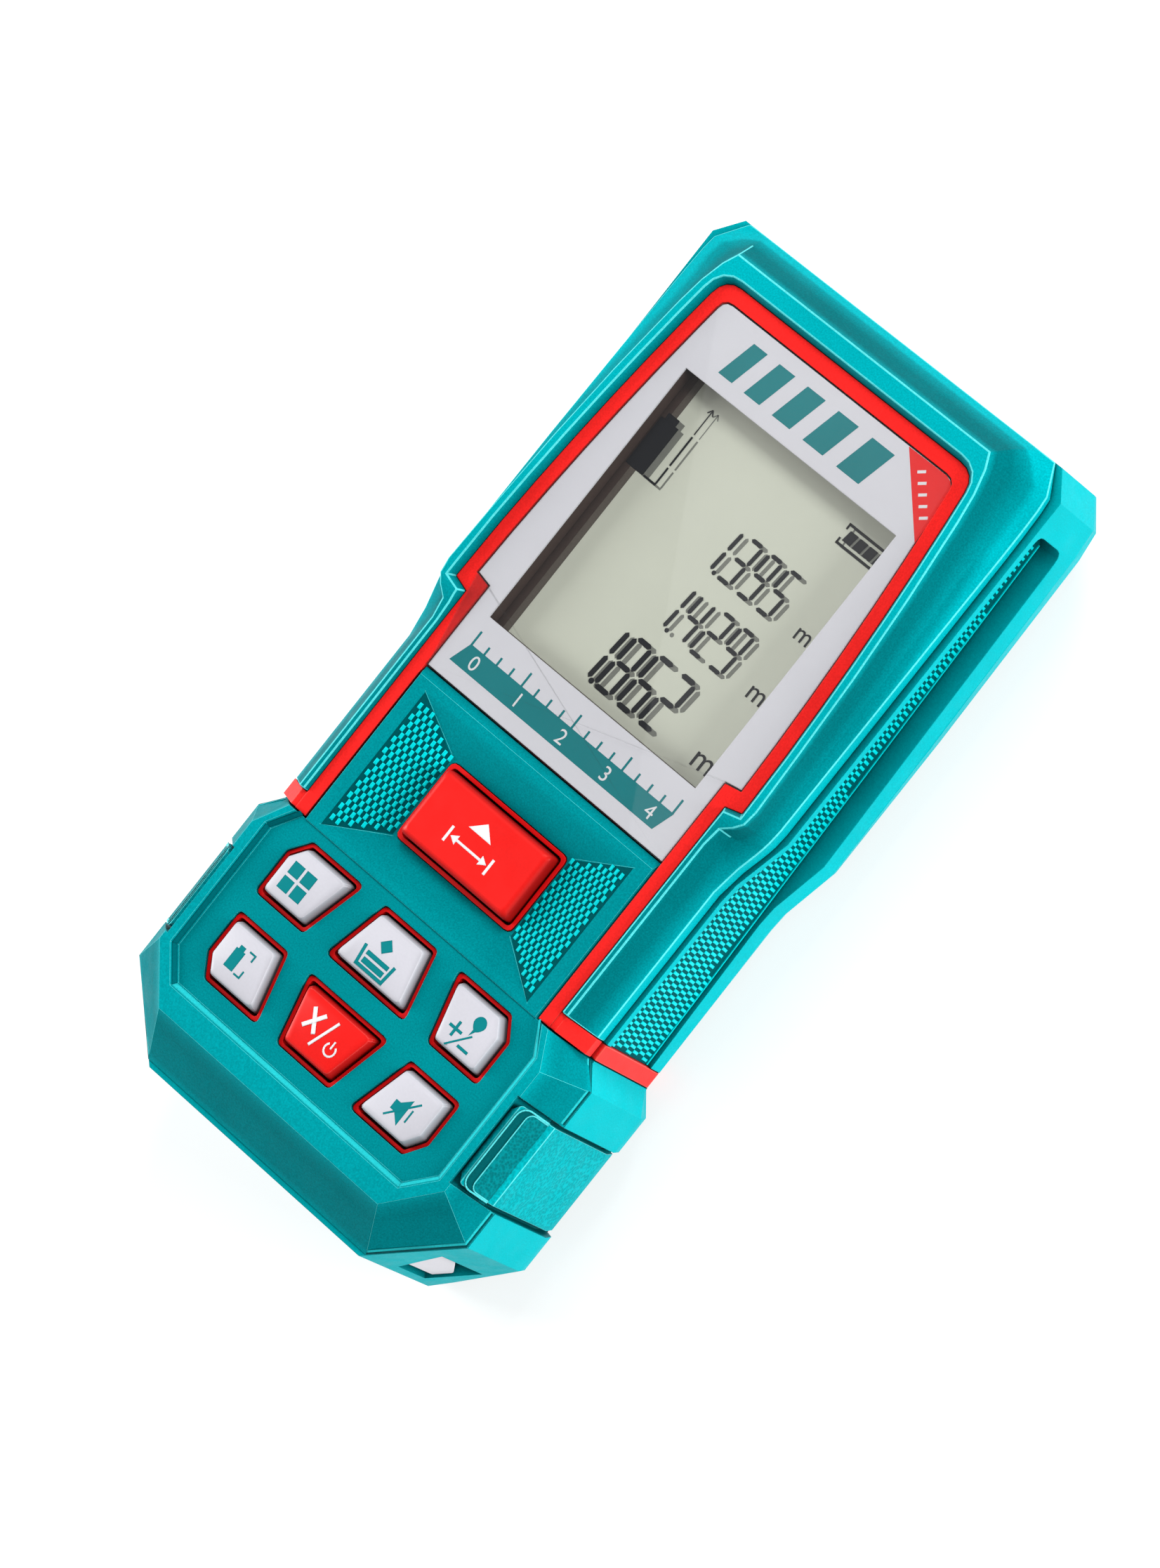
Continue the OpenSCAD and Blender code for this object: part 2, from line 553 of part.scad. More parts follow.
module housing_screws() color(metal) place() pair() for (p = [heel_screw, head_screw])
  translate([p[0], p[1], 0]) difference() {
    union() {
      translate([0, 0, back + 5.3]) cylinder(h = 1.15, r = 1.9);
      translate([0, 0, back + 6.4]) cylinder(h = 14.3, r = 0.95);
    }
    for (a = [0, 90]) rotate(a) bar(-1.2, 1.2, -0.22, 0.22, back + 5, back + 6);
  }

module strap_post() color(grey) place()
  into_bevel(0.35, 1.2) polygon([[1.4, -19.58], [4.1, -19.58], [7.3, -12.8], [7.3, -8.64], [1.4, -11.89]]);

keypad_housing();
head_frame();
red_frame();
waist_band();
rear_housing();
grip_pad_left();
grip_pad_right();
display_lens();
display_mask();
lcd_holder();
lcd_cell();
lcd_reflector();
zebra_strip();
key_mat();
measure_key();
area_key();
level_key();
sum_key();
reference_key();
clear_key();
sound_key();
main_board();
key_domes();
board_parts();
buzzer();
optics_block();
laser_module();
laser_lens();
receiver_lens();
sensor_board();
sensor_can();
front_window();
battery_contacts();
battery_cell_left();
battery_cell_right();
battery_door();
housing_screws();
strap_post();
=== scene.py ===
"""Looks of the laser distance meter: surface finishes, knurling, prints, display, light and camera."""
import math

import bmesh
import bpy
from mathutils import Matrix, Vector


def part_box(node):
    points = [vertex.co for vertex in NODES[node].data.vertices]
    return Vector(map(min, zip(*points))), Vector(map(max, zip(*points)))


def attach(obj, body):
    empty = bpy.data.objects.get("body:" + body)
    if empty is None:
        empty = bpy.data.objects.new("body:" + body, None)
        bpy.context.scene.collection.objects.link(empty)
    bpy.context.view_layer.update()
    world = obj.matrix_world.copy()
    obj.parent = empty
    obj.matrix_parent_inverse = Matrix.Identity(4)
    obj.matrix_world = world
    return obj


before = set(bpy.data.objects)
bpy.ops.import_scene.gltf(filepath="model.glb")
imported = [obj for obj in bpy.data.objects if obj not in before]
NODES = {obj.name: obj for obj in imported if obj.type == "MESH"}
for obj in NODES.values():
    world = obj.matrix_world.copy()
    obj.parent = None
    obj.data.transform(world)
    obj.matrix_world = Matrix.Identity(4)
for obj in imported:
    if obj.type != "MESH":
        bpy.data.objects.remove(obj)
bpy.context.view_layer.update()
MM = 0.001
WAIST_Y, FACE_Z = -24.3, 27.0          # working frame: y from the waist line, z from the red frame's face
LCD_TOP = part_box("lcd_cell")[1].z / MM - FACE_Z
MASK_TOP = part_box("display_mask")[1].z / MM - FACE_Z


def row(p):
    """A working-frame point in the row frame, still in millimetres."""
    return Vector((p[0], p[1] + WAIST_Y, p[2] + FACE_Z))


def P(x, y, z):
    """A point of the working frame, in millimetres, as a point of the row frame in metres."""
    return row((x, y, z)) * MM


# ---------------------------------------------------------------- materials

CLOUD, GLOSS = 70, 420                 # noise scales of the uneven colour and the uneven gloss
GRAIN_DEPTH = 0.00006                  # in metres
def new_material(name):
    m = bpy.data.materials.new(name)
    m.use_nodes = True
    return m, m.node_tree.nodes, m.node_tree.links, m.node_tree.nodes["Principled BSDF"]


def ramp(nodes, links, source, stops):
    r = nodes.new("ShaderNodeValToRGB")
    els = r.color_ramp.elements
    while len(els) < len(stops):
        els.new(0.5)
    for e, (pos, col) in zip(els, stops):
        e.position = pos
        e.color = (*col, 1) if len(col) == 3 else (col[0], col[0], col[0], 1)
    links.new(source, r.inputs["Fac"])
    return r.outputs["Color"]


def noise(nodes, links, scale, detail=3.0, rough=0.55, kind="NOISE"):
    co = nodes.new("ShaderNodeTexCoord")
    if kind == "VORONOI":
        n = nodes.new("ShaderNodeTexVoronoi")
        n.inputs["Scale"].default_value = scale
        links.new(co.outputs["Object"], n.inputs["Vector"])
        return n.outputs["Distance"]
    n = nodes.new("ShaderNodeTexNoise")
    n.inputs["Scale"].default_value = scale
    n.inputs["Detail"].default_value = detail
    n.inputs["Roughness"].default_value = rough
    links.new(co.outputs["Object"], n.inputs["Vector"])
    return n.outputs["Fac"]


def mixed(nodes, links, fac, a, b, mode="MIX"):
    m = nodes.new("ShaderNodeMix")
    m.data_type = "RGBA"
    m.blend_type = mode
    for sock, v in ((m.inputs[0], fac), (m.inputs[6], a), (m.inputs[7], b)):
        if isinstance(v, bpy.types.NodeSocket):
            links.new(v, sock)
        elif isinstance(v, (int, float)):
            sock.default_value = v
        else:
            sock.default_value = (*v, 1)
    return m.outputs[2]


def moulded(name, base, light=None, grain=0.12, grain_mm=0.22, rough=(0.38, 0.55), edge=0.5, edge_mm=0.22,
            voronoi=False, spec=0.3, tint=(1, 1, 1), speck=0.1, crease_shade=0.35, mottle=0.07,
            crease=(0.25, 0.85), reach_mm=0.9, heights=None):
    """Moulded plastic, rubber or paint: mottled colour, fine grain, uneven gloss, a painted highlight on the
    rounded edges and painted shade in creases. light is the colour of the painted edge highlight. heights
    lists pairs of a height over the face, in millimetres, and the brightness there: light and shade painted
    by height."""
    m, nodes, links, bsdf = new_material(name)
    light = light or tuple(min(1, c * 1.5 + 0.05) for c in base)
    cloud = noise(nodes, links, CLOUD, 3)
    fine = noise(nodes, links, 1000 / grain_mm, 2, kind="VORONOI" if voronoi else "NOISE")
    dark = tuple(c * (1 - mottle) for c in base)
    bright = tuple(min(1, c * (1 + mottle)) for c in base)
    colour = ramp(nodes, links, cloud, [(0.3, dark), (0.7, bright)])
    if speck:
        specks = ramp(nodes, links, fine, [(0.35, (1 - speck,)), (0.75, (1 + speck,))])
        colour = mixed(nodes, links, 1.0, colour, specks, "MULTIPLY")
    rounded = nodes.new("ShaderNodeBevel")
    rounded.samples = 4
    rounded.inputs["Radius"].default_value = edge_mm * MM
    # Brightness by height over the face: painted light and shade
    if heights:
        co = nodes.new("ShaderNodeTexCoord")
        split = nodes.new("ShaderNodeSeparateXYZ")
        level = nodes.new("ShaderNodeMapRange")
        low, high = heights[0][0], heights[-1][0]
        level.inputs["From Min"].default_value = (low + FACE_Z) * MM
        level.inputs["From Max"].default_value = (high + FACE_Z) * MM
        links.new(co.outputs["Object"], split.inputs["Vector"])
        links.new(split.outputs["Z"], level.inputs["Value"])
        stops = [((z - low) / (high - low), (f,)) for z, f in heights]
        tone = ramp(nodes, links, level.outputs["Result"], stops)
        colour = mixed(nodes, links, 1.0, colour, tone, "MULTIPLY")
    # Darker where ambient occlusion finds the surface hemmed in: painted shade in creases and recesses
    if crease_shade:
        hollow = nodes.new("ShaderNodeAmbientOcclusion")
        hollow.samples = 4
        hollow.inputs["Distance"].default_value = reach_mm * MM
        stops = [(crease[0], (1 - crease_shade,)), (crease[1], (1.0,))]
        shade = ramp(nodes, links, hollow.outputs["AO"], stops)
        colour = mixed(nodes, links, 1.0, colour, shade, "MULTIPLY")
    # Lighter colour where the rounded normal turns from the face normal, kept out of concave edges: a painted
    # highlight
    if edge:
        geo = nodes.new("ShaderNodeNewGeometry")
        dot = nodes.new("ShaderNodeVectorMath")
        dot.operation = "DOT_PRODUCT"
        links.new(rounded.outputs["Normal"], dot.inputs[0])
        links.new(geo.outputs["Normal"], dot.inputs[1])
        edge_light_mask = ramp(nodes, links, dot.outputs["Value"], [(0.80, (edge,)), (0.985, (0.0,))])
        if crease_shade:
            open_air = ramp(nodes, links, hollow.outputs["AO"], [(0.72, (0.0,)), (0.93, (1.0,))])
            edge_light_mask = mixed(nodes, links, 1.0, edge_light_mask, open_air, "MULTIPLY")
        colour = mixed(nodes, links, edge_light_mask, colour, light)
    links.new(colour, bsdf.inputs["Base Color"])
    gloss = noise(nodes, links, GLOSS, 4)
    links.new(ramp(nodes, links, gloss, [(0.3, (rough[0],)), (0.7, (rough[1],))]), bsdf.inputs["Roughness"])
    bump = nodes.new("ShaderNodeBump")
    bump.inputs["Strength"].default_value = grain
    bump.inputs["Distance"].default_value = GRAIN_DEPTH
    links.new(fine, bump.inputs["Height"])
    links.new(rounded.outputs["Normal"], bump.inputs["Normal"])
    links.new(bump.outputs["Normal"], bsdf.inputs["Normal"])
    bsdf.inputs["Specular IOR Level"].default_value = spec
    bsdf.inputs["Specular Tint"].default_value = (*tint, 1)
    return m


def clear(name, tint, alpha, ior, rough=0.03, scale=60):
    """Clear moulding, drawn as a thin blended layer with faint smears in its gloss."""
    m, nodes, links, bsdf = new_material(name)
    smear = noise(nodes, links, scale, 4)
    links.new(ramp(nodes, links, smear, [(0.3, (rough,)), (0.75, (rough * 1.8,))]), bsdf.inputs["Roughness"])
    links.new(ramp(nodes, links, smear, [(0.2, tint), (0.8, tuple(c * 0.93 for c in tint))]),
              bsdf.inputs["Base Color"])
    bsdf.inputs["Alpha"].default_value = alpha
    bsdf.inputs["IOR"].default_value = ior
    return m


def metal(name, base, rough=(0.18, 0.34), scale=900):
    m, nodes, links, bsdf = new_material(name)
    n = noise(nodes, links, scale, 5, 0.6)
    dull = tuple(c * 0.85 for c in base)
    links.new(ramp(nodes, links, n, [(0.3, dull), (0.7, base)]), bsdf.inputs["Base Color"])
    links.new(ramp(nodes, links, n, [(0.3, (rough[0],)), (0.7, (rough[1],))]), bsdf.inputs["Roughness"])
    bsdf.inputs["Metallic"].default_value = 1.0
    return m


TEAL = (0.0, 0.37, 0.415)
CYAN = (0.05, 0.95, 1.0)
M = {
    # Painted shade in creases and recesses reaching 3 mm, which darkens the side channels' ledges
    "teal": moulded("teal_moulding", (0.0, 0.46, 0.51), grain=0.2, grain_mm=0.2, edge=0.0, edge_mm=0.2,
                    tint=CYAN, spec=0.02, crease_shade=0.75, crease=(0.5, 0.93), reach_mm=3.0),
    # The head frame and the keypad block are lighter or darker by height over the face: painted light and
    # shade, such as the darker side scoops and the light head band
    "teal_frame": moulded("teal_frame", TEAL, grain=0.2, grain_mm=0.2, edge=0.0, edge_mm=0.2,
                          tint=CYAN, spec=0.02, speck=0.16,
                          heights=[(-5, 1.2), (-3.3, 1.15), (-2.9, 0.74), (-1.4, 0.44), (0.1, 0.42),
                                   (0.85, 0.78), (1.0, 1.1)]),
    "teal_block": moulded("teal_block", TEAL, grain=0.2, grain_mm=0.2, edge=0.0, edge_mm=0.2,
                          tint=CYAN, spec=0.02, speck=0.16,
                          heights=[(-5, 0.92), (-4.2, 0.62), (-2.0, 0.60), (-1.1, 0.56), (-0.1, 0.65),
                                   (0.6, 0.83), (0.75, 0.92)]),
    # Lighter copies of the teal and the red for the rounded edges: painted highlights, darkened in concave
    # edges as painted shade
    "teal_edge": moulded("teal_edge", (0.10, 0.72, 0.75), grain=0.05, edge=0.0, tint=CYAN, spec=0.12,
                         speck=0.12, crease_shade=0.93, crease=(0.62, 0.93)),
    "red_edge_highlight": moulded("red_edge_highlight", (0.95, 0.075, 0.06), grain=0.05, edge=0.0, tint=(1, 0.3, 0.27),
                        speck=0.05, crease_shade=0.85, crease=(0.6, 0.93)),
    # Studs a lighter teal than the moulding with lighter edges, a painted highlight; the dark plate between
    # them is painted shade
    "knurl": moulded("teal_knurl", (0.0, 0.66, 0.70), (0.1, 0.95, 1.0), grain=0.1, edge=0.4, edge_mm=0.05,
                     tint=CYAN, spec=0.12, crease_shade=0.25),
    "knurl_shade": moulded("teal_stud_gap_shade", (0.0, 0.085, 0.095), grain=0.1, edge=0.0, tint=CYAN, spec=0.01,
                         crease_shade=0.0),
    # Grip pads with lighter edges, a painted highlight; the darker teal on the pads' slopes is painted shade
    "grip": moulded("teal_grip", (0.0, 0.38, 0.42), (0.06, 0.7, 0.74), grain=0.6, grain_mm=0.34,
                    rough=(0.5, 0.72), edge=0.6, voronoi=True, tint=CYAN, spec=0.04, speck=0.16),
    "grip_dark": moulded("teal_pad_slope_shade", (0.0, 0.20, 0.22), grain=0.9, grain_mm=0.34, rough=(0.5, 0.72),
                         edge=0.0, voronoi=True, tint=CYAN, spec=0.12, speck=0.2),
    # Light and near black teal for strips on chamfers and the parting line: a painted highlight and painted
    # shade
    "highlight_strip": moulded("teal_painted_highlight", (0.02, 0.56, 0.60), grain=0.05, edge=0.0, tint=CYAN, spec=0.05,
                         crease_shade=0.2),
    "shade_strip": moulded("teal_painted_shade", (0.0, 0.13, 0.15), grain=0.05, edge=0.0, tint=CYAN, spec=0.02,
                        crease_shade=0.2),
    # Near black plates in grooves and seams: painted shade
    "groove": moulded("teal_groove_shade", (0.0, 0.09, 0.10), grain=0.1, edge=0.0, tint=CYAN, spec=0.1),
    # Lighter rounded edges are a painted highlight and darker creases painted shade; the keys also darken
    # towards their feet by height, painted shade on their sides
    "red": moulded("red_frame", (0.93, 0.020, 0.018), (1.0, 0.10, 0.08), grain=0.12, rough=(0.3, 0.42),
                   edge=0.4, edge_mm=0.22, tint=(1, 0.25, 0.22), speck=0.1, spec=0.15, crease_shade=0.3),
    "silicone": moulded("red_silicone", (0.66, 0.004, 0.005), (0.95, 0.06, 0.05), grain=0.08,
                        rough=(0.5, 0.62), edge=0.5, edge_mm=0.12, tint=(1, 0.25, 0.22), speck=0.04),
    "red_key": moulded("red_key", (0.86, 0.014, 0.012), (1.0, 0.2, 0.18), grain=0.05, grain_mm=0.3,
                       rough=(0.34, 0.46), edge=0.7, edge_mm=0.2, tint=(1, 0.3, 0.27), speck=0.03,
                       heights=[(-2, 0.3), (-0.2, 0.42), (0.45, 0.62), (0.78, 0.93), (0.86, 1.0)]),
    "key": moulded("grey_key", (0.61, 0.605, 0.66), (0.95, 0.95, 1.0), grain=0.04, grain_mm=0.3,
                   rough=(0.36, 0.5), edge=0.6, edge_mm=0.2, speck=0.015,
                   heights=[(-2, 0.3), (-0.2, 0.4), (0.5, 0.6), (0.82, 0.92), (0.95, 1.0)]),
    "post": moulded("grey_post", (0.70, 0.69, 0.74), (0.95, 0.95, 1.0), grain=0.04, grain_mm=0.3,
                    rough=(0.36, 0.5), edge=0.5, edge_mm=0.2, speck=0.015),
    "silver": moulded("silver_print", (0.74, 0.74, 0.785), grain=0.02, grain_mm=0.15,
                      rough=(0.35, 0.45), edge=0.0, speck=0.03, mottle=0.02, crease_shade=0),
    "print_teal": moulded("teal_ink", (0.0, 0.22, 0.24), grain=0.02, edge=0.0, rough=(0.4, 0.5),
                          speck=0.02, crease_shade=0, spec=0.1),
    "print_white": moulded("white_ink", (0.86, 0.86, 0.88), grain=0.02, edge=0.0, rough=(0.4, 0.5),
                           speck=0.01, mottle=0.02, crease_shade=0),
    "print_red": moulded("red_ink", (0.90, 0.004, 0.004), grain=0.02, edge=0.0, rough=(0.35, 0.45),
                         speck=0.03, crease_shade=0, spec=0.15),
    # The holder's brown with lighter edges, a painted highlight, also darkens a strip of the display glass as
    # painted shadow; the lighter brown is a painted half-shadow there
    "brown": moulded("brown_holder", (0.050, 0.030, 0.024), (0.1, 0.08, 0.07), grain=0.05, edge=0.2,
                     rough=(0.5, 0.6)),
    "brown_soft_shadow": moulded("lcd_soft_shadow", (0.115, 0.098, 0.080), grain=0.05, edge=0.0, rough=(0.5, 0.6),
                           crease_shade=0),
    "lcd": moulded("lcd_face", (0.66, 0.69, 0.58), grain=0.02, grain_mm=0.12, rough=(0.35, 0.45), edge=0.0,
                   speck=0.02, mottle=0.02, crease_shade=0),
    "segment": moulded("lcd_segment", (0.010, 0.012, 0.016), grain=0.01, edge=0.0, rough=(0.4, 0.5), spec=0.1,
                       speck=0, crease_shade=0),
    # These keep the default lighter edges and darker creases: painted highlight and painted shade
    "white_plate": moulded("reflector", (0.75, 0.76, 0.7), grain=0.05),
    "black": moulded("black_plastic", (0.018, 0.018, 0.02), (0.08, 0.08, 0.09), grain=0.15, edge=0.3),
    "zebra": moulded("zebra_rubber", (0.42, 0.14, 0.17), grain=0.05),
    "board": moulded("solder_resist", (0.01, 0.10, 0.04), (0.05, 0.2, 0.1), grain=0.1, rough=(0.2, 0.35)),
    "sleeve": moulded("cell_sleeve", (0.03, 0.032, 0.04), (0.1, 0.1, 0.12), grain=0.02, rough=(0.2, 0.3)),
    "steel": metal("spring_steel", (0.62, 0.62, 0.62)),
    "nickel": metal("nickel", (0.70, 0.68, 0.64)),
    "brass": metal("turned_brass", (0.78, 0.55, 0.22)),
    "lens": clear("display_lens", (0.02, 0.02, 0.022), 0.10, 3.4, 0.004),
    "optic": clear("optical_glass", (0.35, 0.45, 0.55), 0.3, 2.0, 0.01),
    "window": clear("front_glass", (0.03, 0.006, 0.008), 0.80, 1.6, 0.03),
}

# A liquid crystal segment's shadow on the plate behind it: thin and partly see-through
shadow, sn, sl, sb = new_material("lcd_shadow")
sl.new(ramp(sn, sl, noise(sn, sl, 3000, 2), [(0.3, (0.02, 0.022, 0.025)), (0.7, (0.05, 0.055, 0.06))]),
       sb.inputs["Base Color"])
sb.inputs["Roughness"].default_value = 0.6
sb.inputs["Alpha"].default_value = 0.28
M["shadow"] = shadow

FINISH = {
    "teal": ["rear_housing", "battery_door"], "teal_frame": ["head_frame"], "teal_block": ["keypad_housing"],
    "grip": ["grip_pad_left", "grip_pad_right"],
    "red": ["red_frame", "waist_band"], "silicone": ["key_mat"],
    "red_key": ["measure_key", "clear_key"],
    "key": ["area_key", "level_key", "sum_key", "reference_key", "sound_key"], "post": ["strap_post"],
    "silver": ["display_mask"], "lens": ["display_lens"], "brown": ["lcd_holder"], "lcd": ["lcd_cell"],
    "white_plate": ["lcd_reflector"], "zebra": ["zebra_strip"], "board": ["main_board", "sensor_board"],
    "steel": ["key_domes", "housing_screws"], "black": ["board_parts", "buzzer", "optics_block"],
    "brass": ["laser_module"], "optic": ["laser_lens", "receiver_lens"],
    "nickel": ["sensor_can", "battery_contacts"],
    "window": ["front_window"], "sleeve": ["battery_cell_left", "battery_cell_right"],
}
BEVEL = {  # rounding of the real edges, in millimetres
    "keypad_housing": 0.22, "head_frame": 0.22, "rear_housing": 0.25, "battery_door": 0.15, "red_frame": 0.22,
    "waist_band": 0.15, "measure_key": 0.12, "strap_post": 0.2, "grip_pad_left": 0.2, "grip_pad_right": 0.2,
}
BEVEL_ANGLE, HEAD_ANGLE = 20, 33        # edges that turn by more degrees than this are rounded
WELD = 0.000002                         # points closer than this become one, in metres
FLATTEN, CREASE = 0.6, 24               # faces within FLATTEN degrees become one, within CREASE shade smooth
# Painted highlight on the rounded edges of each main finish: a lighter copy of it
EDGE = {"teal": "teal_edge", "teal_frame": "teal_edge", "teal_block": "teal_edge", "grip": "teal_edge",
        "red": "red_edge_highlight"}


def shade_group():
    """Geometry nodes: smooth shading with a crease wherever faces meet at more than CREASE."""
    g = bpy.data.node_groups.new("soft_shading", "GeometryNodeTree")
    g.interface.new_socket("Geometry", in_out="INPUT", socket_type="NodeSocketGeometry")
    g.interface.new_socket("Geometry", in_out="OUTPUT", socket_type="NodeSocketGeometry")
    n, l = g.nodes, g.links
    a, b = n.new("NodeGroupInput"), n.new("NodeGroupOutput")
    free = n.new("GeometryNodeSetMeshNormal")
    free.mode = "SHARPNESS"
    free.inputs["Remove Custom"].default_value = True
    angle = n.new("GeometryNodeInputMeshEdgeAngle")
    over = n.new("FunctionNodeCompare")
    over.operation = "GREATER_THAN"
    over.inputs["B"].default_value = math.radians(CREASE)
    l.new(angle.outputs["Unsigned Angle"], over.inputs["A"])
    l.new(a.outputs["Geometry"], free.inputs["Mesh"])
    l.new(over.outputs["Result"], free.inputs["Edge Sharpness"])
    l.new(free.outputs["Mesh"], b.inputs["Geometry"])
    return g


SHADE = shade_group()


def soften(o, width, edge):
    """Join the node's facets into whole faces, round its edges by width millimetres and shade it smooth."""
    w = o.modifiers.new("weld", "WELD")
    w.merge_threshold = WELD
    d = o.modifiers.new("flatten", "DECIMATE")
    d.decimate_type = "DISSOLVE"
    d.angle_limit = math.radians(FLATTEN)
    if width:
        b = o.modifiers.new("edge", "BEVEL")
        b.width = width * MM
        b.segments = 2
        b.limit_method = "ANGLE"
        b.angle_limit = math.radians(HEAD_ANGLE if o.name == "head_frame" else BEVEL_ANGLE)
        b.use_clamp_overlap = True
        # The rounded faces take the lighter edge copy of the finish: a painted highlight
        if edge:
            o.data.materials.append(M[edge])
            b.material = len(o.data.materials) - 1
    s = o.modifiers.new("shade", "NODES")
    s.node_group = SHADE
    if width:
        flat = o.modifiers.new("flat_faces", "WEIGHTED_NORMAL")
        flat.weight = 80
        flat.keep_sharp = True


for key, names in FINISH.items():
    for name in names:
        o = NODES[name]
        if not o.material_slots:
            o.data.materials.append(M[key])
        for slot in o.material_slots:
            slot.material = M[key]
        if name != "display_lens":
            soften(o, BEVEL.get(name, 0.0), EDGE.get(key))


# ---------------------------------------------------------------- added pieces

def add(name, mesh, mat, body):
    """Put a piece into the scene. It rides on a body and wears a slot's finish."""
    mesh.materials.append(M[mat])
    o = bpy.data.objects.new(name, mesh)
    bpy.context.scene.collection.objects.link(o)
    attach(o, body)


def piece(name, verts, faces, mat, body="housing"):
    mesh = bpy.data.meshes.new(name)
    mesh.from_pydata([tuple(v) for v in verts], [], faces)
    mesh.validate()
    bm = bmesh.new()
    bm.from_mesh(mesh)
    bmesh.ops.recalc_face_normals(bm, faces=bm.faces)
    bm.to_mesh(mesh)
    bm.free()
    add(name, mesh, mat, body)


def slabs(name, rings, mat, body="housing"):
    """One piece of closed slabs, each between a low and a high ring with as many points."""
    verts, faces = [], []
    for low, high in rings:
        k, n = len(verts), len(low)
        verts += low + high
        faces += [tuple(range(k + n - 1, k - 1, -1)), tuple(range(k + n, k + 2 * n))]
        faces += [(k + i, k + (i + 1) % n, k + n + (i + 1) % n, k + n + i) for i in range(n)]
    piece(name, verts, faces, mat, body)


def plates(name, polygons, z, thick, mat, body="housing", step=0.0):
    """Thin printed plates, one for each polygon, on height z. step lifts each above the one before it."""
    rings = [([P(x, y, z) for x, y in poly], [P(x, y, z + thick + step * i) for x, y in poly])
             for i, poly in enumerate(polygons)]
    slabs(name, rings, mat, body)


def box2(x0, y0, x1, y1):
    return [(x0, y0), (x1, y0), (x1, y1), (x0, y1)]


def stroke(a, b, w):
    """Straight stroke of width w from a to b."""
    (x0, y0), (x1, y1) = a, b
    d = math.hypot(x1 - x0, y1 - y0)
    nx, ny = -(y1 - y0) / d * w / 2, (x1 - x0) / d * w / 2
    return [(x0 - nx, y0 - ny), (x1 - nx, y1 - ny), (x1 + nx, y1 + ny), (x0 + nx, y0 + ny)]


def arc(cx, cy, r, a0, a1, w, n=14):
    """Stroke of width w round a centre, in n steps from one angle to the other, in degrees."""
    out = []
    for i in range(n):
        t0, t1 = math.radians(a0 + (a1 - a0) * i / n), math.radians(a0 + (a1 - a0) * (i + 1) / n)
        out.append([(cx + (r + s * w / 2) * math.cos(t), cy + (r + s * w / 2) * math.sin(t))
                    for t, s in ((t0, -1), (t0, 1), (t1, 1), (t1, -1))][::-1])
    return out


def disc(cx, cy, r, n=10):
    turn = [2 * math.pi * i / n for i in range(n)]
    return [(cx + r * math.cos(t), cy + r * math.sin(t)) for t in turn]


SEGS = {"0": "abcdef", "1": "bc", "2": "abged", "3": "abgcd", "4": "fgbc", "5": "afgcd",
        "6": "afgedc", "7": "abc", "8": "abcdefg", "9": "abcdfg"}


def digit(ch, x, y, w, h, t, lean=0.09, gap=0.13):
    """Leaning seven-segment digit, w by h, with pointed segments of width t and gaps between them."""
    half = h / 2

    def bar(x0, y0, x1, y1):
        a, b, c = gap, gap + t / 2, t / 2
        if y0 == y1:
            return [(x0 + a, y0), (x0 + b, y0 - c), (x1 - b, y0 - c),
                    (x1 - a, y0), (x1 - b, y0 + c), (x0 + b, y0 + c)]
        return [(x0, y0 + a), (x0 + c, y0 + b), (x0 + c, y1 - b),
                (x0, y1 - a), (x0 - c, y1 - b), (x0 - c, y0 + b)]
    lay = {"a": (0, h, w, h), "g": (0, half, w, half), "d": (0, 0, w, 0), "f": (0, half, 0, h),
           "b": (w, half, w, h), "e": (0, 0, 0, half), "c": (w, 0, w, half)}
    return [[(x + px + lean * py, y + py) for px, py in bar(*lay[s])] for s in SEGS[ch]]


def lettered(name, text, size, x, y, z, mat, body="housing"):
    """Digits or a unit sign as flat filled outlines."""
    c = bpy.data.curves.new(name, "FONT")
    c.body = text
    c.size = size * MM
    c.align_x = "CENTER"
    c.extrude = 0.004 * MM
    outline = bpy.data.objects.new(name + "_outline", c)
    bpy.context.scene.collection.objects.link(outline)
    bpy.context.view_layer.update()
    mesh = bpy.data.meshes.new_from_object(outline.evaluated_get(bpy.context.evaluated_depsgraph_get()))
    bpy.data.objects.remove(outline)
    mesh.transform(Matrix.Translation(P(x, y, z)))
    mesh.name = name
    mesh.materials.clear()
    add(name, mesh, mat, body)


SINK = 0.05                            # how deep the studs reach into the moulding, in millimetres


def studs(name, points, u, v, n, a, b, h, slot):
    """Low blunt studs at the given points, with u, v, n as their axes; the rows step like a chessboard.
    a and b are half their sides along u and v, h is their height."""
    verts, faces = [], []
    for c in points:
        k = len(verts)
        for s, lift in ((1.0, -SINK), (0.93, h * 0.55), (0.6, h)):
            for du, dv in ((1, 1), (-1, 1), (-1, -1), (1, -1)):
                verts.append((c + u * (du * a * s) + v * (dv * b * s) + n * lift) * MM)
        for r in (k, k + 4):
            faces += [(r + i, r + (i + 1) % 4, r + 4 + (i + 1) % 4, r + 4 + i) for i in range(4)]
        faces += [(k + 8, k + 9, k + 10, k + 11), (k + 3, k + 2, k + 1, k)]
    piece(name, verts, faces, "knurl")


def bed(name, corners, n):
    """Painted shade between the studs: a dark thin plate just above the moulding."""
    low, high = ([(row(c) + n * lift) * MM for c in corners] for lift in (0.004, 0.012))
    slabs(name, [(low, high)], "knurl_shade")


def sheet(name, polygons, o, u, v, n, lift, thick, mat, slot):
    """Flat plates on a sloping face: polygons in the u, v axes from the point o."""
    rings = [[[(row(o) + u * a + v * b + n * h) * MM for a, b in poly] for h in (lift, lift + thick)]
             for poly in polygons]
    slabs(name, rings, mat)


